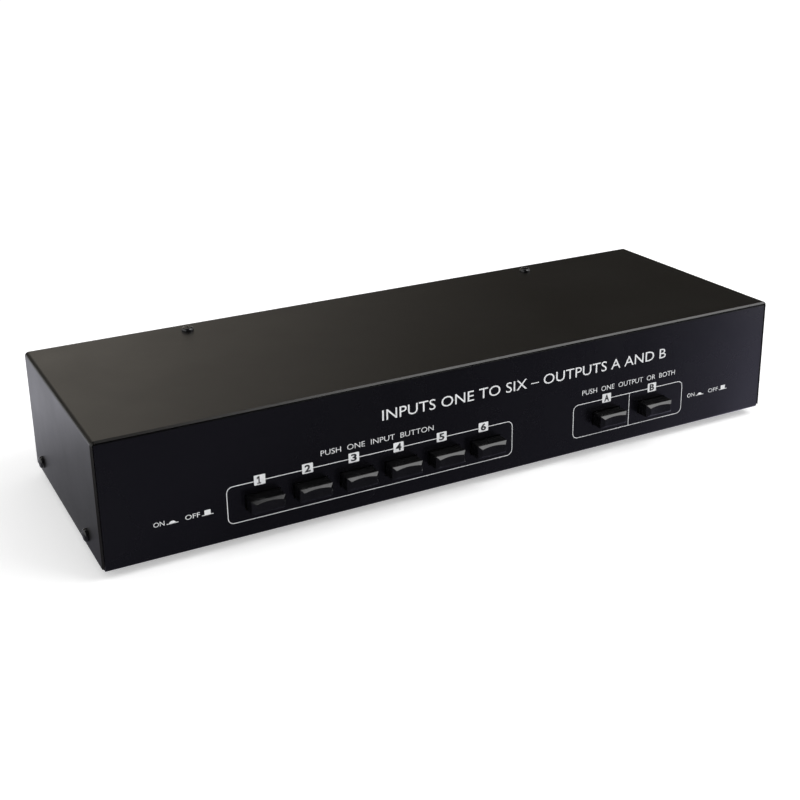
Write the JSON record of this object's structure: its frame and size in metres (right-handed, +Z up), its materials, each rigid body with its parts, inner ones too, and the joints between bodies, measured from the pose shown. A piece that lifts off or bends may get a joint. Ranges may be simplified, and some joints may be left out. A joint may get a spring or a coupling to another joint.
{
  "type": "speaker selector switch",
  "caption": "Low wide steel case with a row of push buttons on its front panel and spring-clip speaker terminals across its rear.",
  "frame": {"origin": "under the middle of the whole switch, on the surface that its feet stand on", "axes": "+X to the right seen from the front, +Y to the rear, +Z up"},
  "size_m": [0.3638, 0.1412, 0.0659],
  "materials": {
    "cover_paint": "fine matt black paint",
    "panel_paint": "semi-gloss black paint",
    "foot_rubber": "matt rubber",
    "black_screw": "black oxide",
    "zinc_screw": "zinc plated",
    "switch_moulding": "moulded",
    "zinc_steel": "zinc plated",
    "spring_wire": "drawn wire",
    "terminal_moulding": "moulded",
    "contact_metal": "tin plated",
    "board_laminate": "phenolic laminate",
    "cap_moulding": "satin moulded",
    "plunger_moulding": "moulded",
    "lever_red": "moulded",
    "lever_black": "moulded"
  },
  "bodies": {
    "case": {"top_cover": "cover_paint", "chassis_tray": "panel_paint", "rubber_feet": "foot_rubber", "case_screws": "black_screw", "board_screws": "zinc_screw", "switch_housings": "switch_moulding", "switch_brackets": "zinc_steel", "switch_springs": "spring_wire", "terminal_housings": "terminal_moulding", "terminal_contacts": "contact_metal", "main_board": "board_laminate"},
    "button_1": {"button_cap_1": "cap_moulding", "plunger_1": "plunger_moulding"},
    "button_2": {"button_cap_2": "cap_moulding", "plunger_2": "plunger_moulding"},
    "button_3": {"button_cap_3": "cap_moulding", "plunger_3": "plunger_moulding"},
    "button_4": {"button_cap_4": "cap_moulding", "plunger_4": "plunger_moulding"},
    "button_5": {"button_cap_5": "cap_moulding", "plunger_5": "plunger_moulding"},
    "button_6": {"button_cap_6": "cap_moulding", "plunger_6": "plunger_moulding"},
    "button_a": {"button_cap_a": "cap_moulding", "plunger_a": "plunger_moulding"},
    "button_b": {"button_cap_b": "cap_moulding", "plunger_b": "plunger_moulding"},
    "latch": {"latch_bar": "zinc_steel"},
    "clip_1_left_black": {"lever_1_left_black": "lever_black"},
    "clip_1_left_red": {"lever_1_left_red": "lever_red"},
    "clip_1_right_black": {"lever_1_right_black": "lever_black"},
    "clip_1_right_red": {"lever_1_right_red": "lever_red"},
    "clip_2_left_black": {"lever_2_left_black": "lever_black"},
    "clip_2_left_red": {"lever_2_left_red": "lever_red"},
    "clip_2_right_black": {"lever_2_right_black": "lever_black"},
    "clip_2_right_red": {"lever_2_right_red": "lever_red"},
    "clip_3_left_black": {"lever_3_left_black": "lever_black"},
    "clip_3_left_red": {"lever_3_left_red": "lever_red"},
    "clip_3_right_black": {"lever_3_right_black": "lever_black"},
    "clip_3_right_red": {"lever_3_right_red": "lever_red"},
    "clip_4_left_black": {"lever_4_left_black": "lever_black"},
    "clip_4_left_red": {"lever_4_left_red": "lever_red"},
    "clip_4_right_black": {"lever_4_right_black": "lever_black"},
    "clip_4_right_red": {"lever_4_right_red": "lever_red"},
    "clip_5_left_black": {"lever_5_left_black": "lever_black"},
    "clip_5_left_red": {"lever_5_left_red": "lever_red"},
    "clip_5_right_black": {"lever_5_right_black": "lever_black"},
    "clip_5_right_red": {"lever_5_right_red": "lever_red"},
    "clip_6_left_black": {"lever_6_left_black": "lever_black"},
    "clip_6_left_red": {"lever_6_left_red": "lever_red"},
    "clip_6_right_black": {"lever_6_right_black": "lever_black"},
    "clip_6_right_red": {"lever_6_right_red": "lever_red"},
    "clip_a_left_black": {"lever_a_left_black": "lever_black"},
    "clip_a_left_red": {"lever_a_left_red": "lever_red"},
    "clip_a_right_black": {"lever_a_right_black": "lever_black"},
    "clip_a_right_red": {"lever_a_right_red": "lever_red"},
    "clip_b_left_black": {"lever_b_left_black": "lever_black"},
    "clip_b_left_red": {"lever_b_left_red": "lever_red"},
    "clip_b_right_black": {"lever_b_right_black": "lever_black"},
    "clip_b_right_red": {"lever_b_right_red": "lever_red"}
  },
  "joints": [
    {"name": "button_1_press", "type": "slide", "parent": "case", "child": "button_1", "axis": [0, 1, 0], "range_m": [0, 0.005], "stiffness_N_per_m": 400, "deforming": ["switch_springs"]},
    {"name": "button_2_press", "type": "slide", "parent": "case", "child": "button_2", "axis": [0, 1, 0], "range_m": [0, 0.005], "stiffness_N_per_m": 400, "deforming": ["switch_springs"]},
    {"name": "button_3_press", "type": "slide", "parent": "case", "child": "button_3", "axis": [0, 1, 0], "range_m": [0, 0.005], "stiffness_N_per_m": 400, "deforming": ["switch_springs"]},
    {"name": "button_4_press", "type": "slide", "parent": "case", "child": "button_4", "axis": [0, 1, 0], "range_m": [0, 0.005], "stiffness_N_per_m": 400, "deforming": ["switch_springs"]},
    {"name": "button_5_press", "type": "slide", "parent": "case", "child": "button_5", "axis": [0, 1, 0], "range_m": [0, 0.005], "stiffness_N_per_m": 400, "deforming": ["switch_springs"]},
    {"name": "button_6_press", "type": "slide", "parent": "case", "child": "button_6", "axis": [0, 1, 0], "range_m": [0, 0.005], "stiffness_N_per_m": 400, "deforming": ["switch_springs"]},
    {"name": "button_a_press", "type": "slide", "parent": "case", "child": "button_a", "axis": [0, 1, 0], "range_m": [0, 0.005], "stiffness_N_per_m": 400, "deforming": ["switch_springs"]},
    {"name": "button_b_press", "type": "slide", "parent": "case", "child": "button_b", "axis": [0, 1, 0], "range_m": [0, 0.005], "stiffness_N_per_m": 400, "deforming": ["switch_springs"]},
    {"name": "latch_bar_slide", "type": "slide", "parent": "case", "child": "latch", "axis": [1, 0, 0], "range_m": [0, 0.0015], "stiffness_N_per_m": 300, "deforming": ["switch_springs"]},
    {"name": "clip_1_left_black_press", "type": "hinge", "parent": "case", "child": "clip_1_left_black", "pos_m": [-0.1545, 0.0601, 0.0463], "axis": [-1, 0, 0], "range_deg": [0, 22], "stiffness_Nm_per_rad": 0.06, "deforming": ["terminal_contacts"]},
    {"name": "clip_1_left_red_press", "type": "hinge", "parent": "case", "child": "clip_1_left_red", "pos_m": [-0.1375, 0.0601, 0.0463], "axis": [-1, 0, 0], "range_deg": [0, 22], "stiffness_Nm_per_rad": 0.06, "deforming": ["terminal_contacts"]},
    {"name": "clip_1_right_black_press", "type": "hinge", "parent": "case", "child": "clip_1_right_black", "pos_m": [-0.1545, 0.0601, 0.0273], "axis": [-1, 0, 0], "range_deg": [0, 22], "stiffness_Nm_per_rad": 0.06, "deforming": ["terminal_contacts"]},
    {"name": "clip_1_right_red_press", "type": "hinge", "parent": "case", "child": "clip_1_right_red", "pos_m": [-0.1375, 0.0601, 0.0273], "axis": [-1, 0, 0], "range_deg": [0, 22], "stiffness_Nm_per_rad": 0.06, "deforming": ["terminal_contacts"]},
    {"name": "clip_2_left_black_press", "type": "hinge", "parent": "case", "child": "clip_2_left_black", "pos_m": [-0.1205, 0.0601, 0.0463], "axis": [-1, 0, 0], "range_deg": [0, 22], "stiffness_Nm_per_rad": 0.06, "deforming": ["terminal_contacts"]},
    {"name": "clip_2_left_red_press", "type": "hinge", "parent": "case", "child": "clip_2_left_red", "pos_m": [-0.1035, 0.0601, 0.0463], "axis": [-1, 0, 0], "range_deg": [0, 22], "stiffness_Nm_per_rad": 0.06, "deforming": ["terminal_contacts"]},
    {"name": "clip_2_right_black_press", "type": "hinge", "parent": "case", "child": "clip_2_right_black", "pos_m": [-0.1205, 0.0601, 0.0273], "axis": [-1, 0, 0], "range_deg": [0, 22], "stiffness_Nm_per_rad": 0.06, "deforming": ["terminal_contacts"]},
    {"name": "clip_2_right_red_press", "type": "hinge", "parent": "case", "child": "clip_2_right_red", "pos_m": [-0.1035, 0.0601, 0.0273], "axis": [-1, 0, 0], "range_deg": [0, 22], "stiffness_Nm_per_rad": 0.06, "deforming": ["terminal_contacts"]},
    {"name": "clip_3_left_black_press", "type": "hinge", "parent": "case", "child": "clip_3_left_black", "pos_m": [-0.0685, 0.0601, 0.0463], "axis": [-1, 0, 0], "range_deg": [0, 22], "stiffness_Nm_per_rad": 0.06, "deforming": ["terminal_contacts"]},
    {"name": "clip_3_left_red_press", "type": "hinge", "parent": "case", "child": "clip_3_left_red", "pos_m": [-0.0515, 0.0601, 0.0463], "axis": [-1, 0, 0], "range_deg": [0, 22], "stiffness_Nm_per_rad": 0.06, "deforming": ["terminal_contacts"]},
    {"name": "clip_3_right_black_press", "type": "hinge", "parent": "case", "child": "clip_3_right_black", "pos_m": [-0.0685, 0.0601, 0.0273], "axis": [-1, 0, 0], "range_deg": [0, 22], "stiffness_Nm_per_rad": 0.06, "deforming": ["terminal_contacts"]},
    {"name": "clip_3_right_red_press", "type": "hinge", "parent": "case", "child": "clip_3_right_red", "pos_m": [-0.0515, 0.0601, 0.0273], "axis": [-1, 0, 0], "range_deg": [0, 22], "stiffness_Nm_per_rad": 0.06, "deforming": ["terminal_contacts"]},
    {"name": "clip_4_left_black_press", "type": "hinge", "parent": "case", "child": "clip_4_left_black", "pos_m": [-0.0345, 0.0601, 0.0463], "axis": [-1, 0, 0], "range_deg": [0, 22], "stiffness_Nm_per_rad": 0.06, "deforming": ["terminal_contacts"]},
    {"name": "clip_4_left_red_press", "type": "hinge", "parent": "case", "child": "clip_4_left_red", "pos_m": [-0.0175, 0.0601, 0.0463], "axis": [-1, 0, 0], "range_deg": [0, 22], "stiffness_Nm_per_rad": 0.06, "deforming": ["terminal_contacts"]},
    {"name": "clip_4_right_black_press", "type": "hinge", "parent": "case", "child": "clip_4_right_black", "pos_m": [-0.0345, 0.0601, 0.0273], "axis": [-1, 0, 0], "range_deg": [0, 22], "stiffness_Nm_per_rad": 0.06, "deforming": ["terminal_contacts"]},
    {"name": "clip_4_right_red_press", "type": "hinge", "parent": "case", "child": "clip_4_right_red", "pos_m": [-0.0175, 0.0601, 0.0273], "axis": [-1, 0, 0], "range_deg": [0, 22], "stiffness_Nm_per_rad": 0.06, "deforming": ["terminal_contacts"]},
    {"name": "clip_5_left_black_press", "type": "hinge", "parent": "case", "child": "clip_5_left_black", "pos_m": [0.0175, 0.0601, 0.0463], "axis": [-1, 0, 0], "range_deg": [0, 22], "stiffness_Nm_per_rad": 0.06, "deforming": ["terminal_contacts"]},
    {"name": "clip_5_left_red_press", "type": "hinge", "parent": "case", "child": "clip_5_left_red", "pos_m": [0.0345, 0.0601, 0.0463], "axis": [-1, 0, 0], "range_deg": [0, 22], "stiffness_Nm_per_rad": 0.06, "deforming": ["terminal_contacts"]},
    {"name": "clip_5_right_black_press", "type": "hinge", "parent": "case", "child": "clip_5_right_black", "pos_m": [0.0175, 0.0601, 0.0273], "axis": [-1, 0, 0], "range_deg": [0, 22], "stiffness_Nm_per_rad": 0.06, "deforming": ["terminal_contacts"]},
    {"name": "clip_5_right_red_press", "type": "hinge", "parent": "case", "child": "clip_5_right_red", "pos_m": [0.0345, 0.0601, 0.0273], "axis": [-1, 0, 0], "range_deg": [0, 22], "stiffness_Nm_per_rad": 0.06, "deforming": ["terminal_contacts"]},
    {"name": "clip_6_left_black_press", "type": "hinge", "parent": "case", "child": "clip_6_left_black", "pos_m": [0.0515, 0.0601, 0.0463], "axis": [-1, 0, 0], "range_deg": [0, 22], "stiffness_Nm_per_rad": 0.06, "deforming": ["terminal_contacts"]},
    {"name": "clip_6_left_red_press", "type": "hinge", "parent": "case", "child": "clip_6_left_red", "pos_m": [0.0685, 0.0601, 0.0463], "axis": [-1, 0, 0], "range_deg": [0, 22], "stiffness_Nm_per_rad": 0.06, "deforming": ["terminal_contacts"]},
    {"name": "clip_6_right_black_press", "type": "hinge", "parent": "case", "child": "clip_6_right_black", "pos_m": [0.0515, 0.0601, 0.0273], "axis": [-1, 0, 0], "range_deg": [0, 22], "stiffness_Nm_per_rad": 0.06, "deforming": ["terminal_contacts"]},
    {"name": "clip_6_right_red_press", "type": "hinge", "parent": "case", "child": "clip_6_right_red", "pos_m": [0.0685, 0.0601, 0.0273], "axis": [-1, 0, 0], "range_deg": [0, 22], "stiffness_Nm_per_rad": 0.06, "deforming": ["terminal_contacts"]},
    {"name": "clip_a_left_black_press", "type": "hinge", "parent": "case", "child": "clip_a_left_black", "pos_m": [0.1035, 0.0601, 0.0463], "axis": [-1, 0, 0], "range_deg": [0, 22], "stiffness_Nm_per_rad": 0.06, "deforming": ["terminal_contacts"]},
    {"name": "clip_a_left_red_press", "type": "hinge", "parent": "case", "child": "clip_a_left_red", "pos_m": [0.1205, 0.0601, 0.0463], "axis": [-1, 0, 0], "range_deg": [0, 22], "stiffness_Nm_per_rad": 0.06, "deforming": ["terminal_contacts"]},
    {"name": "clip_a_right_black_press", "type": "hinge", "parent": "case", "child": "clip_a_right_black", "pos_m": [0.1035, 0.0601, 0.0273], "axis": [-1, 0, 0], "range_deg": [0, 22], "stiffness_Nm_per_rad": 0.06, "deforming": ["terminal_contacts"]},
    {"name": "clip_a_right_red_press", "type": "hinge", "parent": "case", "child": "clip_a_right_red", "pos_m": [0.1205, 0.0601, 0.0273], "axis": [-1, 0, 0], "range_deg": [0, 22], "stiffness_Nm_per_rad": 0.06, "deforming": ["terminal_contacts"]},
    {"name": "clip_b_left_black_press", "type": "hinge", "parent": "case", "child": "clip_b_left_black", "pos_m": [0.1375, 0.0601, 0.0463], "axis": [-1, 0, 0], "range_deg": [0, 22], "stiffness_Nm_per_rad": 0.06, "deforming": ["terminal_contacts"]},
    {"name": "clip_b_left_red_press", "type": "hinge", "parent": "case", "child": "clip_b_left_red", "pos_m": [0.1545, 0.0601, 0.0463], "axis": [-1, 0, 0], "range_deg": [0, 22], "stiffness_Nm_per_rad": 0.06, "deforming": ["terminal_contacts"]},
    {"name": "clip_b_right_black_press", "type": "hinge", "parent": "case", "child": "clip_b_right_black", "pos_m": [0.1375, 0.0601, 0.0273], "axis": [-1, 0, 0], "range_deg": [0, 22], "stiffness_Nm_per_rad": 0.06, "deforming": ["terminal_contacts"]},
    {"name": "clip_b_right_red_press", "type": "hinge", "parent": "case", "child": "clip_b_right_red", "pos_m": [0.1545, 0.0601, 0.0273], "axis": [-1, 0, 0], "range_deg": [0, 22], "stiffness_Nm_per_rad": 0.06, "deforming": ["terminal_contacts"]}
  ]
}
